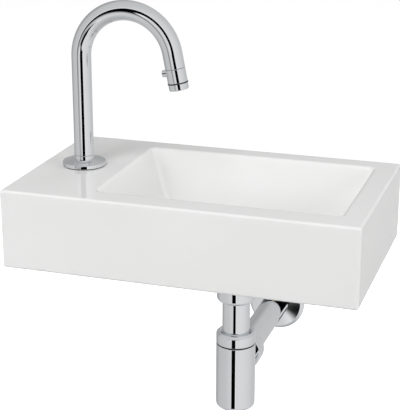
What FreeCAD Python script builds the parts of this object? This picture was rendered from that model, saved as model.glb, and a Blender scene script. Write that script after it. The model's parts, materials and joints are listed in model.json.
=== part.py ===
import FreeCAD
import Part
import math
import os

V = FreeCAD.Vector
os.makedirs("parts", exist_ok=True)

# Wall-hung hand basin with a tap on its left deck and a bottle trap below.
# Millimetres. The origin is on the wall, midway between the two studs.
# X runs to the right along the wall, Y into the wall, Z up.

# Basin
BASIN_WIDTH = 400.0
BASIN_DEPTH = 235.0
BASIN_HEIGHT = 90.0
EDGE_ROUND = 3.0
SKIRT = 12.0
DECK_THICK = 14.0

# Bowl, with its rims measured on the top face
TAP_DECK = 101.0
RIM_RIGHT = 26.0
RIM_BACK = 24.0
RIM_FRONT = 32.0
BOWL_DEPTH = 64.0
SIDE_DRAFT = 24.0
BACK_DRAFT = 22.0
FRONT_DRAFT = 8.0
BOWL_WALL = 10.0
FLOOR_THICK = 12.0
BOWL_ROUND = 6.0
LIP_ROUND = 5.0
DISH_RADIUS = 52.0
DISH_FALL = 3.0
SEAT_MARGIN = 1.0

# Wall studs, M8
STUD_SPACING = 280.0
STUD_DROP = 50.0
STUD_RADIUS = 4.0
STUD_WALL_RADIUS = 4.5
STUD_OUT = 60.0
STUD_TIP = 8.0
STUD_END = 3.5
STUD_POINT = 1.1
BUSH_WALL = 2.6
BUSH_FLANGE = 11.0
BUSH_FLANGE_THICK = 2.0
STUD_WASHER_RADIUS = 9.0
STUD_WASHER_THICK = 1.6
STUD_NUT_FLATS = 13.0
STUD_NUT_THICK = 6.5

# Tap base
TAP_FROM_WALL = 116.0
TAP_HOLE = 14.0
FLANGE_RADIUS = 25.0
FLANGE_RIM = 4.0
FLANGE_DOME = 3.0
FLANGE_SHOULDER = 1.5
FLANGE_EDGE = 1.0
FLANGE_FILLET = 4.0
DECK_GASKET_THICK = 1.0
DECK_GASKET_WIDTH = 8.5
DECK_GASKET_INSET = 1.0
COLLAR_HEIGHT = 4.8
SHANK_RADIUS = 9.0
SHANK_BORE = 5.0
INLET_RADIUS = 8.33
INLET_LENGTH = 22.0
SHANK_BELOW_DECK = 62.0
CLAMP_GASKET_THICK = 3.0
CLAMP_WASHER_THICK = 2.0
CLAMP_RADIUS = 20.0
SHANK_NUT_FLATS = 24.0
SHANK_NUT_THICK = 8.0

# Swivel between the tap base and the neck
SPIGOT_RADIUS = 8.3
SPIGOT_HEIGHT = 36.0
SWIVEL_LINE = 0.5
BUSH_HEIGHT = 9.0
O_RING_THICK = 1.8
O_RING_PITCH = 5.0
CLIP_THICK = 1.2
CLIP_BITE = 0.4
CLIP_GROOVE = 1.0
CLIP_OPENING = 40.0

# Neck
NECK_RADIUS = 11.2
NECK_WALL = 1.5
STEM_RISE = 127.9
BEND_RADIUS = 55.0
BEND_ANGLE = 169.0
NECK_END = 16.8

# Outlet valve, along the axis of the neck's end
INSERT_LENGTH = 12.0
INSERT_STEM = 7.0
INSERT_BORE = 4.2
INSERT_O_RING = 1.2
INSERT_LAND = 0.9
WASHER_THICK = 0.5
WASHER_INSET = 0.4
RING_LENGTH = 15.6
RING_BEARING = 6.2
RING_CLIP_THICK = 0.9
RING_CLIP_WIDTH = 1.9
RING_CLIP_GROOVE = 0.8
RING_CHAMBER = 8.6
DISC_SEAL_THICK = 0.6
DISC_THICK = 1.6
DISC_RADIUS = 7.8
DISC_PORT = 1.7
PORT_CIRCLE = 3.0
DISC_KEY = 2.2
KEY_DEPTH = 1.2
LUG_DEPTH = 1.0
RING_WEB = 1.2
WEB_MARGIN = 0.5
KNOB_RADIUS = 4.0
KNOB_OUT = 4.6
KNOB_PIN = 1.5
KNOB_PIN_FLOOR = 0.9
KNOB_DROP = 0.2
KNOB_ROUND = 0.7
RING_SEAL_THICK = 1.3
RING_SEAL_PROUD = 0.4

# Aerator
NOZZLE_LENGTH = 7.1
NOZZLE_INSET = 0.1
NOZZLE_NECK = 8.9
NOZZLE_BORE = 7.9
NOZZLE_LIP = 0.9
AERATOR_LENGTH = 6.0
AERATOR_SEAL_THICK = 1.1
AERATOR_SEAL_WIDTH = 2.1
JET_RADIUS = 0.7
JET_PITCH = 2.6

# Waste, with a G1 1/4 tail
TAIL_RADIUS = 20.95
TAIL_BORE = 17.5
TAIL_LENGTH = 70.5
WASTE_FLANGE = 31.5
WASTE_FLANGE_THICK = 3.0
MOUTH_WIDTH = 3.0
MOUTH_DEPTH = 4.0
WASTE_SEAL_RADIUS = 30.0
TOP_SEAL_THICK = 2.0
BOTTOM_SEAL_THICK = 3.0
SLIP_WASHER_THICK = 1.5
BACK_NUT_FLATS = 52.0
BACK_NUT_THICK = 9.0
COVER_RADIUS = 28.0
COVER_GAP = 5.0
COVER_THICK = 2.5
COVER_STEM = 3.0
COVER_SHOULDER = 1.8
COVER_CROWN = 1.5
HUB_RADIUS = 6.0
HUB_HEIGHT = 10.0
HUB_DROP = 4.0
SPOKE_THICK = 3.0

# Trap
TUBE_RADIUS = 16.0
TUBE_WALL = 1.2
NUT_RADIUS = 22.5
COUPLING_HEIGHT = 25.0
COUPLING_LIP = 6.5
COUPLING_ROUND = 5.0
COUPLING_SEAL_THICK = 2.5
TUBE_FLANGE_THICK = 2.0
INLET_SEEN = 38.0
CAP_RADIUS = 23.0
CAP_HEIGHT = 13.6
CAP_TOP = 6.0
CAP_BEVEL = 2.5
CAP_RECESS = 3.0
BODY_SEAL_THICK = 1.6
BODY_SEAL_INSET = 0.3
BODY_HEIGHT = 80.4
BODY_WALL = 2.2
BODY_FLOOR = 3.0
BODY_ROUND = 5.0
BODY_SHOULDER = 4.0
BODY_NECK_HEIGHT = 5.0
BODY_NECK_WALL = 2.4
SLIP_RING_THICK = 1.5
SEAL_LIP = 4.0
DIP_CLEARANCE = 20.0
OUTLET_DROP = 25.5
OUTLET_THREAD = 18.6
OUTLET_REACH = 40.0
OUTLET_STOP = 2.0
OUTLET_NUT_START = 27.0
OUTLET_NUT_RADIUS = 22.0
OUTLET_NUT_ROUND = 3.0
OUTLET_NUT_LIP = 4.0
OUTLET_SEAL_LENGTH = 7.0
OUTLET_END = 114.0
OUTLET_FREE = 40.0
MARK_WIDTH = 0.8
MARK_DEPTH = 0.2
ROSETTE_RADIUS = 36.3
ROSETTE_THICK = 8.0
ROSETTE_RIM = 3.0
ROSETTE_BEVEL = 4.0
ROSETTE_SHEET = 1.5
ROSETTE_FALL = 1.0
ROSETTE_POSITION = 62.0

# Clearances
RUN = 0.08
THREAD = 0.1
LOOSE = 0.3
FACE_GAP = 0.1


# Shape helpers

def solid(shape):
    """The shape as one solid with its faces turned outward."""
    body = shape if shape.ShapeType == "Solid" else shape.Solids[0]
    if body.Volume < 0:
        body.reverse()
    return body


def outline(corners):
    """Closed wire in the XZ plane from corners (r, z) or (r, z, rounding)."""
    points = [V(c[0], 0, c[1]) for c in corners]
    count = len(points)
    stops = []
    for i in range(count):
        rounding = corners[i][2] if len(corners[i]) > 2 else 0.0
        p = points[i]
        if rounding <= 0:
            stops.append((p, None, p))
            continue
        a = (points[i - 1] - p).normalize()
        b = (points[(i + 1) % count] - p).normalize()
        half = a.getAngle(b) / 2
        reach = rounding / math.tan(half)
        centre = p + (a + b).normalize() * (rounding / math.sin(half))
        middle = centre + (p - centre).normalize() * rounding
        stops.append((p + a * reach, middle, p + b * reach))
    edges = []
    for i in range(count):
        enter, middle, leave = stops[i]
        if middle is not None:
            edges.append(Part.Arc(enter, middle, leave).toShape())
        ahead = stops[(i + 1) % count][0]
        if (ahead - leave).Length > 1e-6:
            edges.append(Part.makeLine(leave, ahead))
    return Part.Wire(edges)


def lathe(corners):
    """Solid turned about Z from an outline."""
    face = Part.Face(outline(corners))
    return solid(face.revolve(V(0, 0, 0), V(0, 0, 1), 360))


def ring(inner, outer, low, high, rounding=0.0):
    """Turned ring of rectangular section."""
    return lathe([
        (inner, low, rounding),
        (outer, low, rounding),
        (outer, high, rounding),
        (inner, high, rounding),
    ])


def rod(radius, low, high):
    """Cylinder on the Z axis."""
    return Part.makeCylinder(radius, high - low, V(0, 0, low))


def o_ring(middle, thick, height):
    """Round rubber ring about Z."""
    return Part.makeTorus(middle, thick / 2, V(0, 0, height), V(0, 0, 1))


def block(x0, x1, y0, y1, z0, z1):
    """Box between two corners."""
    return Part.makeBox(x1 - x0, y1 - y0, z1 - z0, V(x0, y0, z0))


def hex_nut(flats, low, high, bore):
    """Six-sided nut about Z with turned corners."""
    reach = flats / math.sqrt(3)
    angles = [math.radians(60 * k) for k in range(7)]
    corners = [V(reach * math.cos(a), reach * math.sin(a), low) for a in angles]
    prism = Part.Face(Part.makePolygon(corners)).extrude(V(0, 0, high - low))
    bevel = reach - flats / 2
    turned = lathe([
        (bore, low),
        (flats / 2, low),
        (reach, low + bevel / 2),
        (reach, high - bevel / 2),
        (flats / 2, high),
        (bore, high),
    ])
    return solid(prism.common(turned))


def moved(shape, x, y, z):
    """Copy of the shape carried to a place."""
    copy = shape.copy()
    copy.translate(V(x, y, z))
    return copy


def laid(shape):
    """Copy of the shape with its Z axis laid along Y, into the wall."""
    copy = shape.copy()
    copy.rotate(V(0, 0, 0), V(1, 0, 0), -90)
    return copy


def pair(shape):
    """Two copies, one at each wall stud."""
    half = STUD_SPACING / 2
    return Part.makeCompound([moved(shape, -half, 0, 0), moved(shape, half, 0, 0)])


def tan(degrees):
    return math.tan(math.radians(degrees))


def keep(name, shape):
    """Write one node."""
    shape.exportStep("parts/" + name + ".step")


# Levels and places shared by several pieces
top = STUD_DROP
bottom = top - BASIN_HEIGHT
deck_under = top - DECK_THICK
floor = top - BOWL_DEPTH
seat = floor - DISH_FALL
floor_under = floor - FLOOR_THICK
left = -BASIN_WIDTH / 2
right = BASIN_WIDTH / 2
tap_x = left + TAP_DECK / 2
tap_y = -TAP_FROM_WALL


def bowl_section(z, grow):
    """Left, right, front and back of the bowl at height z, grown sideways."""
    down = top - z
    x0 = left + TAP_DECK + down * tan(SIDE_DRAFT) - grow
    x1 = right - RIM_RIGHT - down * tan(SIDE_DRAFT) + grow
    y0 = -BASIN_DEPTH + RIM_FRONT + down * tan(FRONT_DRAFT) - grow
    y1 = -RIM_BACK - down * tan(BACK_DRAFT) + grow
    return x0, x1, y0, y1


def bowl_block(low, high, grow):
    """Tapered block of the bowl between two heights."""
    rings = []
    for z in (low, high):
        x0, x1, y0, y1 = bowl_section(z, grow)
        rings.append([V(x0, y0, z), V(x1, y0, z), V(x1, y1, z), V(x0, y1, z)])
    a, b = rings
    floor_face = Part.Face(Part.makePolygon([a[0], a[3], a[2], a[1], a[0]]))
    top_face = Part.Face(Part.makePolygon([b[0], b[1], b[2], b[3], b[0]]))
    faces = [floor_face, top_face]
    for i in range(4):
        j = (i + 1) % 4
        faces.append(Part.Face(Part.makePolygon([a[i], a[j], b[j], b[i], a[i]])))
    return solid(Part.Solid(Part.Shell(faces)))


floor_x0, floor_x1, floor_y0, floor_y1 = bowl_section(floor, 0.0)
drain_x = (floor_x0 + floor_x1) / 2
drain_y = (floor_y0 + floor_y1) / 2

# Basin body
outer = block(left, right, -BASIN_DEPTH, 0, bottom, top)
front_edges = [e for e in outer.Edges if min(v.Y for v in e.Vertexes) < -1e-6]
outer = outer.makeFillet(EDGE_ROUND, front_edges)
above = top + 2 * LIP_ROUND
cavity = bowl_block(floor, above, 0.0)
inner_edges = [e for e in cavity.Edges if min(v.Z for v in e.Vertexes) < above - 1e-6]
cavity = cavity.makeFillet(BOWL_ROUND, inner_edges)
shell = outer.cut(cavity)
open_x0, open_x1, open_y0, open_y1 = bowl_section(top, 1e-3)
lip_edges = []
for edge in shell.Edges:
    box = edge.BoundBox
    on_top = box.ZMin > top - 1e-4
    inside = box.XMin > open_x0 and box.XMax < open_x1 and box.YMin > open_y0 and box.YMax < open_y1
    if on_top and inside:
        lip_edges.append(edge)
shell = shell.makeFillet(LIP_ROUND, lip_edges)
hollow = block(left + SKIRT, right - SKIRT, -BASIN_DEPTH + SKIRT, -SKIRT, bottom - 1, deck_under)
hollow = hollow.cut(bowl_block(floor_under, deck_under + 1, BOWL_WALL))
seat_radius = WASTE_FLANGE + LOOSE + SEAT_MARGIN
dish = Part.makeCone(seat_radius, DISH_RADIUS, DISH_FALL, V(drain_x, drain_y, seat))
drain_hole = moved(rod(TAIL_RADIUS + LOOSE, floor_under - 1, floor), drain_x, drain_y, 0)
tap_hole = moved(rod(TAP_HOLE, deck_under - 1, top + 1), tap_x, tap_y, 0)
bush_radius = STUD_RADIUS + THREAD + BUSH_WALL
stud_holes = pair(laid(rod(bush_radius + THREAD, -SKIRT - 1, 1)))
basin = shell.cut(hollow).cut(dish).cut(drain_hole).cut(tap_hole).cut(stud_holes)
keep("basin_body", solid(basin))

# Wall studs with their bushes, washers and nuts, seen along Y
bush_back = -SKIRT - BUSH_FLANGE_THICK
washer_back = bush_back - STUD_WASHER_THICK
nut_back = washer_back - STUD_NUT_THICK
stud = lathe([
    (0, nut_back - STUD_END),
    (STUD_RADIUS, nut_back - STUD_END, 0.8),
    (STUD_RADIUS, LOOSE),
    (STUD_WALL_RADIUS, LOOSE),
    (STUD_WALL_RADIUS, STUD_OUT - STUD_TIP),
    (STUD_POINT, STUD_OUT),
    (0, STUD_OUT),
])
bush = lathe([
    (STUD_RADIUS + THREAD, bush_back),
    (BUSH_FLANGE, bush_back, 0.6),
    (BUSH_FLANGE, -SKIRT),
    (bush_radius, -SKIRT),
    (bush_radius, 0),
    (STUD_RADIUS + THREAD, 0),
])
keep("wall_studs", pair(laid(stud)))
keep("stud_bushes", pair(laid(bush)))
keep("stud_washers", pair(laid(ring(STUD_RADIUS + LOOSE, STUD_WASHER_RADIUS, washer_back, bush_back, 0.3))))
keep("stud_nuts", pair(laid(hex_nut(STUD_NUT_FLATS, nut_back, washer_back, STUD_RADIUS + THREAD))))


# Tap base, built about the tap's upright axis
def at_tap(shape):
    return moved(shape, tap_x, tap_y, 0)


gasket_top = top + DECK_GASKET_THICK
rim_top = gasket_top + FLANGE_RIM
flange_top = rim_top + FLANGE_DOME
collar_top = flange_top + COLLAR_HEIGHT
shank_end = top - SHANK_BELOW_DECK
shank_hole = SHANK_RADIUS + LOOSE
gasket_outer = FLANGE_RADIUS - DECK_GASKET_INSET
gasket_inner = gasket_outer - DECK_GASKET_WIDTH
keep("deck_gasket", at_tap(ring(gasket_inner, gasket_outer, top, gasket_top)))
flange = lathe([
    (shank_hole, gasket_top),
    (FLANGE_RADIUS, gasket_top, 0.4),
    (FLANGE_RADIUS, rim_top, FLANGE_EDGE),
    (NECK_RADIUS + FLANGE_SHOULDER, flange_top, FLANGE_FILLET),
    (shank_hole, flange_top),
])
keep("tap_flange", at_tap(flange))
clamp_gasket_low = deck_under - CLAMP_GASKET_THICK
clamp_washer_low = clamp_gasket_low - CLAMP_WASHER_THICK
shank_nut_low = clamp_washer_low - SHANK_NUT_THICK
keep("clamp_gasket", at_tap(ring(shank_hole, CLAMP_RADIUS, clamp_gasket_low, deck_under, 0.5)))
keep("clamp_washer", at_tap(ring(shank_hole, CLAMP_RADIUS - 1, clamp_washer_low, clamp_gasket_low, 0.3)))
keep("shank_nut", at_tap(hex_nut(SHANK_NUT_FLATS, shank_nut_low, clamp_washer_low, SHANK_RADIUS + THREAD)))

# Swivel levels on the spigot
neck_bore = NECK_RADIUS - NECK_WALL
neck_low = collar_top + SWIVEL_LINE
spigot_top = collar_top + SPIGOT_HEIGHT
bush_flange = SWIVEL_LINE - FACE_GAP
bush_top = collar_top + BUSH_HEIGHT
ring_outer = neck_bore - RUN
o_middle = ring_outer - O_RING_THICK / 2
o_floor = ring_outer - O_RING_THICK - RUN
o_levels = [bush_top + O_RING_PITCH * (k + 0.7) for k in range(2)]
clip_low = o_levels[1] + O_RING_PITCH
clip_high = clip_low + CLIP_THICK
clip_outer = neck_bore + CLIP_BITE
clip_inner = SPIGOT_RADIUS - CLIP_GROOVE
shank = lathe([
    (SHANK_BORE, shank_end),
    (INLET_RADIUS, shank_end, 0.8),
    (INLET_RADIUS, shank_end + INLET_LENGTH),
    (SHANK_RADIUS, shank_end + INLET_LENGTH),
    (SHANK_RADIUS, flange_top),
    (NECK_RADIUS, flange_top),
    (NECK_RADIUS, collar_top, 0.4),
    (SPIGOT_RADIUS, collar_top),
    (SPIGOT_RADIUS, spigot_top, 0.8),
    (SHANK_BORE, spigot_top),
])
o_half = O_RING_THICK / 2 + FACE_GAP
for level in o_levels:
    shank = shank.cut(ring(o_floor, NECK_RADIUS, level - o_half, level + o_half))
shank = shank.cut(ring(clip_inner - FACE_GAP, NECK_RADIUS, clip_low - FACE_GAP, clip_high + FACE_GAP))
keep("tap_shank", at_tap(solid(shank)))
liner = lathe([
    (SPIGOT_RADIUS + THREAD, collar_top),
    (NECK_RADIUS - WASHER_INSET, collar_top),
    (NECK_RADIUS - WASHER_INSET, collar_top + bush_flange),
    (ring_outer, collar_top + bush_flange),
    (ring_outer, bush_top),
    (SPIGOT_RADIUS + THREAD, bush_top),
])
keep("swivel_bush", at_tap(liner))
o_rings = [at_tap(o_ring(o_middle, O_RING_THICK, level)) for level in o_levels]
keep("swivel_o_rings", Part.makeCompound(o_rings))


def split_ring(inner, outer, low, high):
    """Spring clip: a ring with an opening on the +X side."""
    half = outer * math.sin(math.radians(CLIP_OPENING / 2))
    return solid(ring(inner, outer, low, high).cut(block(0, outer + 1, -half, half, low - 1, high + 1)))


keep("swivel_clip", at_tap(split_ring(clip_inner, clip_outer, clip_low, clip_high)))

# Neck: an upright stem, one bend towards +X and a short straight end
bend_z = top + STEM_RISE
turn = math.radians(BEND_ANGLE)
bend_centre = V(tap_x + BEND_RADIUS, tap_y, bend_z)


def on_bend(angle):
    return bend_centre + V(-math.cos(angle), 0, math.sin(angle)) * BEND_RADIUS


outflow = V(math.sin(turn), 0, math.cos(turn))
neck_foot = V(tap_x, tap_y, neck_low)
bend_end = on_bend(turn)
neck_tip = bend_end + outflow * NECK_END
path = Part.Wire([
    Part.makeLine(neck_foot, on_bend(0)),
    Part.Arc(on_bend(0), on_bend(turn / 2), bend_end).toShape(),
    Part.makeLine(bend_end, neck_tip),
])


def swept(radius):
    """Round bar of the given radius along the neck's path."""
    circle = Part.Wire([Part.makeCircle(radius, neck_foot, V(0, 0, 1))])
    return solid(path.makePipeShell([circle], True, False))


neck = swept(NECK_RADIUS).cut(swept(neck_bore))
clip_groove = ring(neck_bore - 1, clip_outer + LOOSE, clip_low - LOOSE, clip_high + LOOSE)
neck = neck.cut(at_tap(clip_groove))
keep("spout_neck", solid(neck))


# Outlet valve: turned about the outflow axis, distances counted from the neck's end
def at_tip(shape):
    copy = shape.copy()
    copy.rotate(V(0, 0, 0), V(0, 1, 0), BEND_ANGLE)
    copy.translate(neck_tip)
    return copy


insert_radius = neck_bore - THREAD
insert_floor = insert_radius - INSERT_O_RING
ring_start = WASHER_THICK + FACE_GAP
ring_end = ring_start + RING_LENGTH
bearing_end = ring_start + RING_BEARING
clip_start = bearing_end + FACE_GAP
clip_stop = clip_start + RING_CLIP_THICK
insert_end = clip_stop + INSERT_LAND
seal_stop = insert_end + DISC_SEAL_THICK
fixed_stop = seal_stop + DISC_THICK
moving_start = fixed_stop + FACE_GAP
moving_stop = moving_start + DISC_THICK
web_stop = moving_stop + RING_WEB
key_inner = INSERT_STEM - KEY_DEPTH
insert = lathe([
    (INSERT_BORE, -INSERT_LENGTH),
    (insert_radius, -INSERT_LENGTH, 0.4),
    (insert_radius, 0),
    (INSERT_STEM, 0),
    (INSERT_STEM, insert_end),
    (INSERT_BORE, insert_end),
])
insert_o_level = -INSERT_LENGTH / 2
insert_half = INSERT_O_RING / 2 + FACE_GAP
insert_low = insert_o_level - insert_half
insert = insert.cut(ring(insert_floor - RUN, NECK_RADIUS, insert_low, insert_low + 2 * insert_half))
insert_clip = INSERT_STEM - RING_CLIP_GROOVE
ring_clip_inner = insert_clip + FACE_GAP
insert = insert.cut(ring(insert_clip, NECK_RADIUS, clip_start - RUN, clip_stop + RUN))


def key_pair(inner, outer, width, start, stop):
    """Two lugs facing each other across the axis, ending on a turned face."""
    bars = block(-outer - 1, outer + 1, -width / 2, width / 2, start, stop)
    return bars.common(ring(inner, outer, start, stop))


fixed_keys = key_pair(key_inner, INSERT_STEM, DISC_KEY, insert_end - 0.5, seal_stop + DISC_THICK * 0.7)
insert = insert.fuse(fixed_keys).removeSplitter()
keep("valve_insert", at_tip(solid(insert)))
insert_o = o_ring(insert_floor + INSERT_O_RING / 2, INSERT_O_RING - RUN, insert_o_level)
keep("insert_o_ring", at_tip(insert_o))
keep("ring_washer", at_tip(ring(INSERT_STEM + RUN, NECK_RADIUS - WASHER_INSET, 0, WASHER_THICK)))
clip_reach = ring_clip_inner + RING_CLIP_WIDTH
keep("ring_clip", at_tip(split_ring(ring_clip_inner, clip_reach, clip_start, clip_stop)))
keep("disc_seal", at_tip(ring(INSERT_BORE + 0.2, key_inner - RUN, insert_end, seal_stop)))


def ports(low, high):
    """Two round water ports across the axis."""
    holes = [moved(rod(DISC_PORT, low - 1, high + 1), 0, side * PORT_CIRCLE, 0) for side in (-1, 1)]
    return Part.makeCompound(holes)


fixed = rod(DISC_RADIUS, seal_stop, fixed_stop).cut(ports(seal_stop, fixed_stop))
key_slot = DISC_KEY + 2 * THREAD
fixed = fixed.cut(key_pair(key_inner - RUN, DISC_RADIUS + 1, key_slot, seal_stop - 1, fixed_stop + 1))
keep("fixed_disc", at_tip(solid(fixed)))
moving_radius = RING_CHAMBER - LOOSE
moving = rod(moving_radius, moving_start, moving_stop)
quarter = ports(moving_start, moving_stop)
quarter.rotate(V(0, 0, 0), V(0, 0, 1), 90)
moving = moving.cut(quarter)
moving_key = moving_radius - LUG_DEPTH
slots = key_pair(moving_key, moving_radius + 1, key_slot, moving_start - 1, moving_stop + 1)
slots.rotate(V(0, 0, 0), V(0, 0, 1), 90)
moving = moving.cut(slots)
keep("moving_disc", at_tip(solid(moving)))

# Turning ring with its knob
web_hole = PORT_CIRCLE + DISC_PORT + WEB_MARGIN
valve_ring = lathe([
    (INSERT_STEM + RUN, ring_start),
    (NECK_RADIUS, ring_start, 0.4),
    (NECK_RADIUS, ring_end, 0.4),
    (NOZZLE_NECK + THREAD, ring_end),
    (NOZZLE_NECK + THREAD, web_stop),
    (web_hole, web_stop),
    (web_hole, moving_stop),
    (RING_CHAMBER, moving_stop),
    (RING_CHAMBER, bearing_end),
    (INSERT_STEM + RUN, bearing_end),
])
lug_start = moving_stop - DISC_THICK * 0.8
lugs = key_pair(moving_key + THREAD, RING_CHAMBER + 0.5, DISC_KEY, lug_start, moving_stop + 0.3)
lugs.rotate(V(0, 0, 0), V(0, 0, 1), 90)
valve_ring = valve_ring.fuse(lugs).removeSplitter()
knob_level = ring_start + KNOB_RADIUS + KNOB_DROP
pin_depth = INSERT_STEM + RUN + KNOB_PIN_FLOOR


def from_axis(radius, start, stop):
    """Cylinder standing on the outflow axis towards the stem, at the knob's level."""
    return Part.makeCylinder(radius, stop - start, V(start, 0, knob_level), V(1, 0, 0))


valve_ring = valve_ring.cut(from_axis(KNOB_PIN + THREAD, pin_depth - 0.2, NECK_RADIUS + 1))
keep("valve_ring", at_tip(solid(valve_ring)))
knob_end = NECK_RADIUS + KNOB_OUT
knob = from_axis(KNOB_RADIUS, NECK_RADIUS - 2, knob_end)
rounded = [e for e in knob.Edges if e.BoundBox.XMin > knob_end - 1e-3]
knob = knob.makeFillet(KNOB_ROUND, rounded)
knob = knob.cut(rod(NECK_RADIUS + 0.02, ring_start - 5, ring_end))
knob = solid(knob.fuse(from_axis(KNOB_PIN, pin_depth, knob_end - 1)).removeSplitter())
keep("ring_knob", at_tip(knob))

# Black seal, nozzle and aerator
nozzle_start = ring_end + RING_SEAL_THICK
nozzle_end = nozzle_start + NOZZLE_LENGTH
nozzle_radius = NECK_RADIUS - NOZZLE_INSET
seal_outer = NECK_RADIUS + RING_SEAL_PROUD
keep("ring_seal", at_tip(ring(NOZZLE_NECK + THREAD, seal_outer, ring_end, nozzle_start, 0.4)))
nozzle = lathe([
    (NOZZLE_BORE, web_stop + 0.4),
    (NOZZLE_NECK, web_stop + 0.4),
    (NOZZLE_NECK, nozzle_start),
    (nozzle_radius, nozzle_start),
    (nozzle_radius, nozzle_end, 1.0),
    (NOZZLE_BORE - NOZZLE_LIP, nozzle_end),
    (NOZZLE_BORE - NOZZLE_LIP, nozzle_end - NOZZLE_LIP),
    (NOZZLE_BORE, nozzle_end - NOZZLE_LIP),
])
keep("aerator_housing", at_tip(nozzle))
aerator_stop = nozzle_end - NOZZLE_LIP
aerator_start = aerator_stop - AERATOR_LENGTH
aerator = rod(NOZZLE_BORE - THREAD, aerator_start, aerator_stop)
jets = []
for row in (-2, -1, 0, 1, 2):
    for k in range(5 - abs(row)):
        x = (k - (4 - abs(row)) / 2) * JET_PITCH
        y = row * JET_PITCH * math.sqrt(3) / 2
        jets.append(moved(rod(JET_RADIUS, aerator_start - 1, aerator_stop + 1), x, y, 0))
aerator = aerator.cut(Part.makeCompound(jets))
keep("aerator_insert", at_tip(solid(aerator)))
seal_start = aerator_start - AERATOR_SEAL_THICK
seal_hole = NOZZLE_BORE - THREAD - AERATOR_SEAL_WIDTH
keep("aerator_seal", at_tip(ring(seal_hole, NOZZLE_BORE - THREAD, seal_start, aerator_start)))


# Waste and trap, built about the drain's upright axis
def at_drain(shape):
    return moved(shape, drain_x, drain_y, 0)


seal_inner = TAIL_RADIUS + LOOSE
flange_low = seat + TOP_SEAL_THICK
flange_high = flange_low + WASTE_FLANGE_THICK
tail_end = flange_high - TAIL_LENGTH
hub_top = flange_low - HUB_DROP
hub_low = hub_top - HUB_HEIGHT
keep("waste_top_seal", at_drain(ring(seal_inner, WASTE_SEAL_RADIUS, seat, flange_low)))
waste = lathe([
    (TAIL_BORE, tail_end),
    (TAIL_RADIUS, tail_end, 0.8),
    (TAIL_RADIUS, flange_low),
    (WASTE_FLANGE, flange_low),
    (WASTE_FLANGE, flange_high, 1.2),
    (TAIL_BORE + MOUTH_WIDTH, flange_high, 1.5),
    (TAIL_BORE, flange_high - MOUTH_DEPTH),
])
spokes = []
for angle in (90, 210, 330):
    spoke = block(0, TAIL_BORE + 1.0, -SPOKE_THICK / 2, SPOKE_THICK / 2, hub_low + 2, hub_top)
    spoke.rotate(V(0, 0, 0), V(0, 0, 1), angle)
    spokes.append(spoke)
waste = waste.multiFuse(spokes + [rod(HUB_RADIUS, hub_low, hub_top)])
waste = waste.cut(rod(COVER_STEM + THREAD, hub_low - 1, hub_top + 1)).removeSplitter()
keep("waste_body", at_drain(solid(waste)))
cover_low = flange_high + COVER_GAP
cover_high = cover_low + COVER_THICK
cover = lathe([
    (0, hub_low + 1),
    (COVER_STEM, hub_low + 1, 0.5),
    (COVER_STEM, hub_top),
    (COVER_STEM + COVER_SHOULDER, hub_top),
    (COVER_STEM + COVER_SHOULDER, cover_low, 2.0),
    (COVER_RADIUS, cover_low, 0.8),
    (COVER_RADIUS, cover_low + COVER_THICK * 0.7, 0.8),
    (COVER_RADIUS * 0.6, cover_high + 1.0, 20.0),
    (0, cover_high + COVER_CROWN),
])
keep("waste_cover", at_drain(cover))
bottom_seal_low = floor_under - BOTTOM_SEAL_THICK
slip_low = bottom_seal_low - SLIP_WASHER_THICK
back_nut_low = slip_low - BACK_NUT_THICK
keep("waste_bottom_seal", at_drain(ring(seal_inner, WASTE_SEAL_RADIUS, bottom_seal_low, floor_under, 0.5)))
keep("waste_slip_washer", at_drain(ring(seal_inner, WASTE_SEAL_RADIUS - 1, slip_low, bottom_seal_low)))
keep("waste_back_nut", at_drain(hex_nut(BACK_NUT_FLATS, back_nut_low, slip_low, TAIL_RADIUS + THREAD)))

# Coupling at the tail's end
tube_hole = TUBE_RADIUS + LOOSE
tube_bore = TUBE_RADIUS - TUBE_WALL
coupling_seal_low = tail_end - COUPLING_SEAL_THICK
tube_top = coupling_seal_low
tube_flange_low = tube_top - TUBE_FLANGE_THICK
coupling_low = tube_flange_low - COUPLING_LIP
coupling_high = coupling_low + COUPLING_HEIGHT
thread_bore = TAIL_RADIUS + THREAD
coupling = lathe([
    (tube_hole, coupling_low),
    (NUT_RADIUS, coupling_low, COUPLING_ROUND),
    (NUT_RADIUS, coupling_high, 0.8),
    (thread_bore, coupling_high),
    (thread_bore, tube_flange_low),
    (tube_hole, tube_flange_low),
])
keep("coupling_nut", at_drain(coupling))
keep("coupling_seal", at_drain(ring(TAIL_BORE, TAIL_RADIUS - LOOSE, coupling_seal_low, tail_end)))

# Trap levels
cap_top = coupling_low - INLET_SEEN
cap_low = cap_top - CAP_HEIGHT
cap_plate = cap_top - CAP_TOP
body_top = cap_low - BODY_SEAL_THICK
body_low = body_top - BODY_HEIGHT
neck_top = body_top + BODY_NECK_HEIGHT
body_neck = CAP_RADIUS - BODY_WALL
body_neck_bore = body_neck - BODY_NECK_WALL
body_bore = CAP_RADIUS - BODY_WALL
dip_end = body_low + DIP_CLEARANCE
inlet = lathe([
    (tube_bore, dip_end),
    (TUBE_RADIUS, dip_end),
    (TUBE_RADIUS, tube_flange_low),
    (TAIL_RADIUS - LOOSE, tube_flange_low),
    (TAIL_RADIUS - LOOSE, tube_top),
    (tube_bore, tube_top),
])
keep("inlet_tube", at_drain(inlet))
cap = lathe([
    (tube_hole, cap_plate),
    (body_neck + THREAD, cap_plate),
    (body_neck + THREAD, cap_low),
    (CAP_RADIUS, cap_low, 0.4),
    (CAP_RADIUS, cap_top - CAP_BEVEL, 0.5),
    (CAP_RADIUS - CAP_BEVEL, cap_top, 0.5),
    (tube_hole + CAP_RECESS * 0.7, cap_top, 0.5),
    (tube_hole, cap_top - CAP_RECESS),
])
keep("trap_cap", at_drain(cap))
slip_ring_low = cap_plate - SLIP_RING_THICK
keep("cap_slip_ring", at_drain(ring(tube_hole, body_neck - LOOSE, slip_ring_low, cap_plate)))
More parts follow.
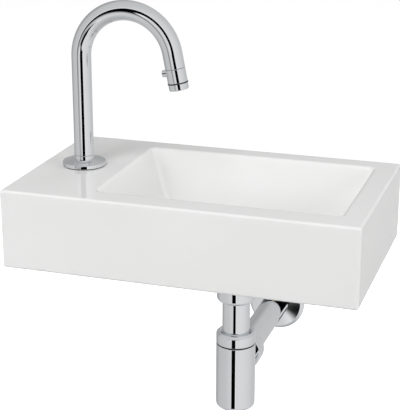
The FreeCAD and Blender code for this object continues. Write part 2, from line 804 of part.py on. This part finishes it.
cap_seal = lathe([
    (TUBE_RADIUS + RUN, neck_top - SEAL_LIP),
    (body_neck_bore - LOOSE, neck_top - SEAL_LIP),
    (body_neck_bore - RUN, neck_top),
    (body_neck - LOOSE, neck_top),
    (body_neck - LOOSE, slip_ring_low),
    (TUBE_RADIUS + RUN, slip_ring_low),
])
keep("cap_seal", at_drain(cap_seal))
keep("body_seal", at_drain(ring(body_neck + RUN, CAP_RADIUS - BODY_SEAL_INSET, body_top, cap_low)))

# Trap body with its outlet branch towards the wall
outlet_z = body_top - OUTLET_DROP
body_shape = lathe([
    (0, body_low),
    (CAP_RADIUS, body_low, BODY_ROUND),
    (CAP_RADIUS, body_top, 0.4),
    (body_neck, body_top),
    (body_neck, neck_top),
    (0, neck_top),
])
room = lathe([
    (0, body_low + BODY_FLOOR),
    (body_bore, body_low + BODY_FLOOR, BODY_ROUND - BODY_WALL),
    (body_bore, body_top - BODY_SHOULDER),
    (body_neck_bore, body_top - BODY_SHOULDER + (body_bore - body_neck_bore)),
    (body_neck_bore, neck_top + 1),
    (0, neck_top + 1),
])


def at_outlet(shape):
    return moved(laid(shape), drain_x, drain_y, outlet_z)


shoulder = CAP_RADIUS + OUTLET_STOP
branch = at_outlet(rod(OUTLET_THREAD, 0, OUTLET_REACH))
trap = at_drain(body_shape).fuse(branch)
trap = trap.cut(at_drain(room))
trap = trap.cut(at_outlet(rod(tube_bore, 0, OUTLET_REACH + 1)))
trap = trap.cut(at_outlet(rod(TUBE_RADIUS + THREAD, shoulder, OUTLET_REACH + 1)))
keep("trap_body", solid(trap.removeSplitter()))

# Outlet nut, seal and tube, seen along Y from the drain's axis
wall_at = -drain_y
outlet_seal_stop = OUTLET_REACH + OUTLET_SEAL_LENGTH - SEAL_LIP
outlet_slip_stop = outlet_seal_stop + SLIP_RING_THICK
outlet_nut_stop = outlet_slip_stop + OUTLET_NUT_LIP
outlet_nut = lathe([
    (OUTLET_THREAD + THREAD, OUTLET_NUT_START),
    (OUTLET_NUT_RADIUS, OUTLET_NUT_START, 0.8),
    (OUTLET_NUT_RADIUS, outlet_nut_stop, OUTLET_NUT_ROUND),
    (tube_hole, outlet_nut_stop),
    (tube_hole, outlet_slip_stop),
    (OUTLET_THREAD + THREAD, outlet_slip_stop),
])
keep("outlet_nut", at_outlet(outlet_nut))
keep("outlet_slip_ring", at_outlet(ring(tube_hole, OUTLET_THREAD - RUN, outlet_seal_stop, outlet_slip_stop)))
keep("outlet_seal", at_outlet(ring(TUBE_RADIUS + RUN, OUTLET_THREAD - RUN, OUTLET_REACH, outlet_seal_stop)))
tube_stop = wall_at + OUTLET_END
mark_stop = tube_stop - OUTLET_FREE
mark_radius = TUBE_RADIUS - MARK_DEPTH
outlet_tube = ring(tube_bore, TUBE_RADIUS, shoulder + LOOSE, tube_stop)
outlet_tube = outlet_tube.cut(ring(mark_radius, TUBE_RADIUS + 1, mark_stop - MARK_WIDTH, mark_stop))
keep("outlet_tube", at_outlet(solid(outlet_tube)))
rosette_face = wall_at + ROSETTE_POSITION
rosette_back = rosette_face + ROSETTE_THICK
rosette_hole = TUBE_RADIUS + RUN
rosette = lathe([
    (rosette_hole, rosette_face),
    (ROSETTE_RADIUS - ROSETTE_BEVEL, rosette_face + ROSETTE_FALL, 1.0),
    (ROSETTE_RADIUS, rosette_back - ROSETTE_RIM, 0.5),
    (ROSETTE_RADIUS, rosette_back),
    (ROSETTE_RADIUS - ROSETTE_SHEET, rosette_back),
    (ROSETTE_RADIUS - ROSETTE_SHEET, rosette_back - ROSETTE_RIM + 0.5),
    (ROSETTE_RADIUS - ROSETTE_BEVEL - 0.5, rosette_face + ROSETTE_FALL + ROSETTE_SHEET),
    (rosette_hole, rosette_face + ROSETTE_SHEET),
])
keep("wall_rosette", at_outlet(rosette))
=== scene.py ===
import json
import math

import bpy
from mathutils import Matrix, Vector

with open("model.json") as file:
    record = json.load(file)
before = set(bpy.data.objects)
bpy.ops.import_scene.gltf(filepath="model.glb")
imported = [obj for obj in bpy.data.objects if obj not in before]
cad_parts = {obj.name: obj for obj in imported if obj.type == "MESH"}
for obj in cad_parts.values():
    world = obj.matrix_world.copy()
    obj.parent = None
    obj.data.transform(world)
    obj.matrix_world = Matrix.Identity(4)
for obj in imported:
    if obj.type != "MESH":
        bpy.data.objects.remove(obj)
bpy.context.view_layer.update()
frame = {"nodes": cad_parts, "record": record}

nodes = frame["nodes"]
scene = bpy.context.scene
scene.view_settings.view_transform = "Standard"

white = (1.0, 1.0, 1.0, 1.0)


# Material helpers

noise_low = 0.3
noise_high = 0.7


def new_material(name):
    """Empty node material with one shader."""
    made = bpy.data.materials.new(name)
    made.use_nodes = True
    tree = made.node_tree
    tree.nodes.clear()
    output = tree.nodes.new("ShaderNodeOutputMaterial")
    shader = tree.nodes.new("ShaderNodeBsdfPrincipled")
    tree.links.new(shader.outputs["BSDF"], output.inputs["Surface"])
    return made, tree, shader


def map_range(tree, source, start, end, first, last):
    """Straight change from one value to another between two limits."""
    change = tree.nodes.new("ShaderNodeMapRange")
    change.inputs["From Min"].default_value = start
    change.inputs["From Max"].default_value = end
    change.inputs["To Min"].default_value = first
    change.inputs["To Max"].default_value = last
    tree.links.new(source, change.inputs["Value"])
    return change.outputs["Result"]


def noise(tree, scale, detail, stretch=(1.0, 1.0, 1.0)):
    """Noise in the piece's own space, in features per metre."""
    place = tree.nodes.new("ShaderNodeTexCoord")
    mapping = tree.nodes.new("ShaderNodeMapping")
    mapping.inputs["Scale"].default_value = stretch
    texture = tree.nodes.new("ShaderNodeTexNoise")
    texture.inputs["Scale"].default_value = scale
    texture.inputs["Detail"].default_value = detail
    tree.links.new(place.outputs["Object"], mapping.inputs["Vector"])
    tree.links.new(mapping.outputs["Vector"], texture.inputs["Vector"])
    return texture.outputs["Fac"]


def tint(tree, shader, source, low, high):
    """Base colour that drifts between two close tones."""
    ramp = tree.nodes.new("ShaderNodeValToRGB")
    ramp.color_ramp.elements[0].position = noise_low
    ramp.color_ramp.elements[0].color = (*low, 1.0)
    ramp.color_ramp.elements[1].position = noise_high
    ramp.color_ramp.elements[1].color = (*high, 1.0)
    tree.links.new(source, ramp.inputs["Fac"])
    tree.links.new(ramp.outputs["Color"], shader.inputs["Base Color"])


def gloss(tree, shader, source, low, high):
    """Roughness that drifts between two values."""
    roughness = map_range(tree, source, noise_low, noise_high, low, high)
    tree.links.new(roughness, shader.inputs["Roughness"])


def relief(tree, shader, source, strength, depth):
    """Fine surface relief, with its depth in metres."""
    bump = tree.nodes.new("ShaderNodeBump")
    bump.inputs["Strength"].default_value = strength
    bump.inputs["Distance"].default_value = depth
    tree.links.new(source, bump.inputs["Height"])
    tree.links.new(bump.outputs["Normal"], shader.inputs["Normal"])


# Finishes

def ceramic():
    made, tree, shader = new_material("glazed_white")
    tint(tree, shader, noise(tree, 7.0, 3.0), (0.815, 0.815, 0.808), (0.835, 0.836, 0.832))
    gloss(tree, shader, noise(tree, 30.0, 2.0), 0.05, 0.085)
    relief(tree, shader, noise(tree, 28.0, 1.0), 0.02, 0.0006)
    shader.inputs["IOR"].default_value = 1.5
    return made


def chrome():
    made, tree, shader = new_material("polished_chrome")
    tint(tree, shader, noise(tree, 16.0, 3.0), (0.80, 0.815, 0.835), (0.835, 0.85, 0.868))
    gloss(tree, shader, noise(tree, 45.0, 4.0), 0.035, 0.075)
    relief(tree, shader, noise(tree, 60.0, 2.0), 0.004, 0.0001)
    shader.inputs["Metallic"].default_value = 1.0
    return made


def brass():
    made, tree, shader = new_material("turned_brass")
    tint(tree, shader, noise(tree, 60.0, 4.0), (0.58, 0.41, 0.17), (0.70, 0.53, 0.26))
    gloss(tree, shader, noise(tree, 90.0, 4.0), 0.22, 0.38)
    relief(tree, shader, noise(tree, 900.0, 2.0, (0.12, 0.12, 1.0)), 0.15, 0.0001)
    shader.inputs["Metallic"].default_value = 1.0
    return made


def steel():
    made, tree, shader = new_material("zinc_steel")
    tint(tree, shader, noise(tree, 90.0, 5.0), (0.46, 0.47, 0.48), (0.62, 0.62, 0.61))
    gloss(tree, shader, noise(tree, 140.0, 4.0), 0.26, 0.44)
    relief(tree, shader, noise(tree, 1200.0, 2.0, (1.0, 0.15, 1.0)), 0.12, 0.00008)
    shader.inputs["Metallic"].default_value = 1.0
    return made


def rubber():
    made, tree, shader = new_material("black_rubber")
    tint(tree, shader, noise(tree, 220.0, 4.0), (0.012, 0.012, 0.013), (0.028, 0.028, 0.029))
    gloss(tree, shader, noise(tree, 160.0, 3.0), 0.5, 0.72)
    relief(tree, shader, noise(tree, 1600.0, 3.0), 0.15, 0.00008)
    return made


def plastic(name, low, high):
    made, tree, shader = new_material(name)
    tint(tree, shader, noise(tree, 70.0, 3.0), low, high)
    gloss(tree, shader, noise(tree, 180.0, 3.0), 0.36, 0.5)
    relief(tree, shader, noise(tree, 1400.0, 2.0), 0.08, 0.00006)
    return made


def disc_ceramic():
    made, tree, shader = new_material("lapped_ceramic")
    tint(tree, shader, noise(tree, 240.0, 5.0), (0.76, 0.74, 0.68), (0.82, 0.80, 0.75))
    gloss(tree, shader, noise(tree, 300.0, 3.0), 0.16, 0.26)
    relief(tree, shader, noise(tree, 2200.0, 2.0), 0.05, 0.00004)
    return made


finish_of = {
    "white_body": ceramic(),
    "chrome": chrome(),
    "brass": brass(),
    "steel": steel(),
    "rubber": rubber(),
    "white_plastic": plastic("white_plastic_moulded", (0.72, 0.72, 0.70), (0.78, 0.78, 0.76)),
    "grey_plastic": plastic("grey_plastic_moulded", (0.27, 0.27, 0.28), (0.33, 0.33, 0.34)),
    "disc_ceramic": disc_ceramic(),
}
slot_of = {part["node"]: part["material_slot"] for part in frame["record"]["subparts"]}
for name, node in nodes.items():
    node.data.materials.clear()
    node.data.materials.append(finish_of[slot_of[name]])

# The metal mirrors the studio, not the basin
nodes["basin_body"].visible_glossy = False

# Camera at the photograph's viewpoint, with places in metres and angles in degrees
camera_place = (0.413, -1.409, 0.4726)
camera_down = 18.6
camera_turn = 18.05
lens = bpy.data.cameras.new("camera")
lens.sensor_fit = "HORIZONTAL"
lens.sensor_width = 36.0
lens.lens = 113.4
lens.clip_start = 0.05
lens.clip_end = 50.0
camera = bpy.data.objects.new("camera", lens)
camera.location = camera_place
camera.rotation_euler = (math.radians(90.0 - camera_down), 0.0, math.radians(camera_turn))
scene.collection.objects.link(camera)
scene.camera = camera

# Floor far below the basin
floor_reach = 9.0
floor_level = -0.85
floor_corners = [(-1, -1), (1, -1), (1, 1), (-1, 1)]
floor_mesh = bpy.data.meshes.new("floor")
floor_mesh.from_pydata(
    [(x * floor_reach, y * floor_reach, floor_level) for x, y in floor_corners],
    [],
    [(0, 1, 2, 3)],
)
floor = bpy.data.objects.new("floor", floor_mesh)
scene.collection.objects.link(floor)
floor.visible_glossy = False


def pale_floor():
    """Matt paint that the camera sees as white, clear when it is seen from underneath."""
    floor_grey = 0.8
    floor_glow = 0.80
    made = bpy.data.materials.new("pale_floor")
    made.use_nodes = True
    tree = made.node_tree
    tree.nodes.clear()
    output = tree.nodes.new("ShaderNodeOutputMaterial")
    matt = tree.nodes.new("ShaderNodeBsdfDiffuse")
    matt.inputs["Color"].default_value = (floor_grey, floor_grey, floor_grey, 1.0)
    glow = tree.nodes.new("ShaderNodeEmission")
    glow.inputs["Color"].default_value = white
    glow.inputs["Strength"].default_value = floor_glow
    bright = tree.nodes.new("ShaderNodeAddShader")
    tree.links.new(matt.outputs["BSDF"], bright.inputs[0])
    tree.links.new(glow.outputs["Emission"], bright.inputs[1])

    rays = tree.nodes.new("ShaderNodeLightPath")
    seen = tree.nodes.new("ShaderNodeMath")
    seen.operation = "MAXIMUM"
    tree.links.new(rays.outputs["Is Camera Ray"], seen.inputs[0])
    tree.links.new(rays.outputs["Is Transmission Ray"], seen.inputs[1])
    choose = tree.nodes.new("ShaderNodeMixShader")
    tree.links.new(seen.outputs["Value"], choose.inputs["Fac"])
    tree.links.new(matt.outputs["BSDF"], choose.inputs[1])
    tree.links.new(bright.outputs["Shader"], choose.inputs[2])

    under = tree.nodes.new("ShaderNodeNewGeometry")
    open_below = tree.nodes.new("ShaderNodeBsdfTransparent")
    one_sided = tree.nodes.new("ShaderNodeMixShader")
    tree.links.new(under.outputs["Backfacing"], one_sided.inputs["Fac"])
    tree.links.new(choose.outputs["Shader"], one_sided.inputs[1])
    tree.links.new(open_below.outputs["BSDF"], one_sided.inputs[2])
    tree.links.new(one_sided.outputs["Shader"], output.inputs["Surface"])
    return made


floor_mesh.materials.append(pale_floor())

# World: white behind the object, even light on it, and a studio for the metal to mirror
world = bpy.data.worlds.new("studio")
scene.world = world
world.use_nodes = True
sky = world.node_tree
sky.nodes.clear()

half_circle = 180.0


def math_node(operation, *values):
    """One sum in the world's node tree; values are sockets or numbers."""
    node = sky.nodes.new("ShaderNodeMath")
    node.operation = operation
    for place, value in enumerate(values):
        if isinstance(value, (int, float)):
            node.inputs[place].default_value = value
        else:
            sky.links.new(value, node.inputs[place])
    return node.outputs["Value"]


def steps(source, stops):
    """Grey ramp over degrees, from (degrees, brightness) stops up to a half circle."""
    ramp = sky.nodes.new("ShaderNodeValToRGB")
    ramp.color_ramp.interpolation = "LINEAR"
    band = ramp.color_ramp.elements
    while len(band) < len(stops):
        band.new(0.5)
    for element, (angle, value) in zip(band, stops):
        element.position = angle / half_circle
        element.color = (value, value, value, 1.0)
    sky.links.new(math_node("DIVIDE", source, half_circle), ramp.inputs["Fac"])
    return ramp.outputs["Color"]


def backdrop(strength):
    """White world light of one strength."""
    light = sky.nodes.new("ShaderNodeBackground")
    light.inputs["Color"].default_value = white
    light.inputs["Strength"].default_value = strength
    return light


coords = sky.nodes.new("ShaderNodeTexCoord")
direction = coords.outputs["Generated"]
split = sky.nodes.new("ShaderNodeSeparateXYZ")
sky.links.new(direction, split.inputs["Vector"])
right = split.outputs["X"]
front = math_node("MULTIPLY", split.outputs["Y"], -1.0)
up = split.outputs["Z"]

# Studio walls, brightest to the front right and dimmer straight below
brightest = Vector((0.70, -0.70, -0.09)).normalized()
nadir_limits = (-1.0, -0.7)
nadir_share = 0.72
toward = sky.nodes.new("ShaderNodeVectorMath")
toward.operation = "DOT_PRODUCT"
toward.inputs[1].default_value = brightest
sky.links.new(direction, toward.inputs[0])
away = math_node("DEGREES", math_node("ARCCOSINE", toward.outputs["Value"]))
walls = steps(away, [
    (0.0, 0.84), (20.0, 0.81), (45.0, 0.76), (65.0, 0.71),
    (85.0, 0.64), (130.0, 0.59), (150.0, 0.40), (180.0, 0.44),
])
walls = math_node("MULTIPLY", walls, map_range(sky, up, *nadir_limits, nadir_share, 1.0))

# Dark ring round the studio's front, with bright edges, and narrow where it is lowest.
# Angles are in degrees, limits of height are parts of 1, and fades are parts of the ring's half width
ring_radius = 25.6
ring_widest = 20.0
low_middle = 3.0
low_half = 11.5
low_limits = (-0.35, -0.33)
dark_fade = (0.9, 1.05)
edge_fade = (1.3, 1.7)
from_front = math_node("DEGREES", math_node("ARCCOSINE", front))
off_ring = math_node("ABSOLUTE", math_node("SUBTRACT", from_front, ring_radius))
ring_turn = math_node("DEGREES", math_node("ARCTAN2", up, right))
half_turn = math_node("MULTIPLY", math_node("ADD", ring_turn, half_circle), 0.5)
ring_width = steps(half_turn, [
    (0.0, 0.42), (35.0, 0.42), (50.0, 0.45), (66.0, 0.75),
    (90.0, 0.65), (111.0, 0.65), (136.0, 0.55), (180.0, 0.42),
])
ring_share = math_node("DIVIDE", off_ring, math_node("MULTIPLY", ring_width, ring_widest))
ring_depth = steps(half_turn, [
    (0.0, 1.0), (8.0, 1.0), (16.0, 0.45), (24.0, 0.2), (32.0, 0.45), (38.0, 1.0), (180.0, 1.0),
])
sideways = math_node("DEGREES", math_node("ARCTAN2", right, front))
off_low = math_node("ABSOLUTE", math_node("SUBTRACT", sideways, low_middle))
low_share = math_node("DIVIDE", off_low, low_half)
is_low = map_range(sky, up, *low_limits, 1.0, 0.0)
share = math_node("MAXIMUM", ring_share, math_node("MULTIPLY", low_share, is_low))
dark = math_node("MULTIPLY", map_range(sky, share, *dark_fade, 1.0, 0.0), ring_depth)
edge = math_node("MULTIPLY", map_range(sky, share, *edge_fade, 1.0, 0.0), ring_depth)
edged = math_node("MAXIMUM", walls, edge)
studio = math_node("MULTIPLY", edged, math_node("SUBTRACT", 1.0, dark))

# Which rays meet which light
even_strength = 0.22
even = backdrop(even_strength)
mirrored = backdrop(1.0)
sky.links.new(studio, mirrored.inputs["Color"])
behind = backdrop(1.0)
rays = sky.nodes.new("ShaderNodeLightPath")
seen = math_node("MAXIMUM", rays.outputs["Is Camera Ray"], rays.outputs["Is Transmission Ray"])
unseen = sky.nodes.new("ShaderNodeMixShader")
sky.links.new(rays.outputs["Is Glossy Ray"], unseen.inputs["Fac"])
sky.links.new(even.outputs["Background"], unseen.inputs[1])
sky.links.new(mirrored.outputs["Background"], unseen.inputs[2])
whole = sky.nodes.new("ShaderNodeMixShader")
sky.links.new(seen, whole.inputs["Fac"])
sky.links.new(unseen.outputs["Shader"], whole.inputs[1])
sky.links.new(behind.outputs["Background"], whole.inputs[2])
output = sky.nodes.new("ShaderNodeOutputWorld")
sky.links.new(whole.outputs["Shader"], output.inputs["Surface"])


# Lamps

def soft_light(name, place, size, power):
    """Large square lamp aimed at the basin, which the metal doesn't mirror."""
    data = bpy.data.lights.new(name, "AREA")
    data.shape = "SQUARE"
    data.size = size
    data.energy = power
    lamp = bpy.data.objects.new(name, data)
    lamp.location = place
    aim = lamp_target - Vector(place)
    lamp.rotation_euler = aim.to_track_quat("-Z", "Y").to_euler()
    lamp.visible_glossy = False
    lamp.visible_camera = False
    scene.collection.objects.link(lamp)


lamp_target = Vector((0.0, -0.12, 0.0))
soft_light("front_light", (-0.9, -2.2, 0.9), size=1.0, power=17.4)
soft_light("right_light", (2.4, -0.5, 0.7), size=1.4, power=29.0)
soft_light("left_light", (-2.4, -0.2, 0.5), size=1.4, power=14.0)
soft_light("high_light", (0.0, -1.5, 2.1), size=1.4, power=32.0)
soft_light("back_light", (0.3, 2.4, 0.5), size=1.4, power=24.0)
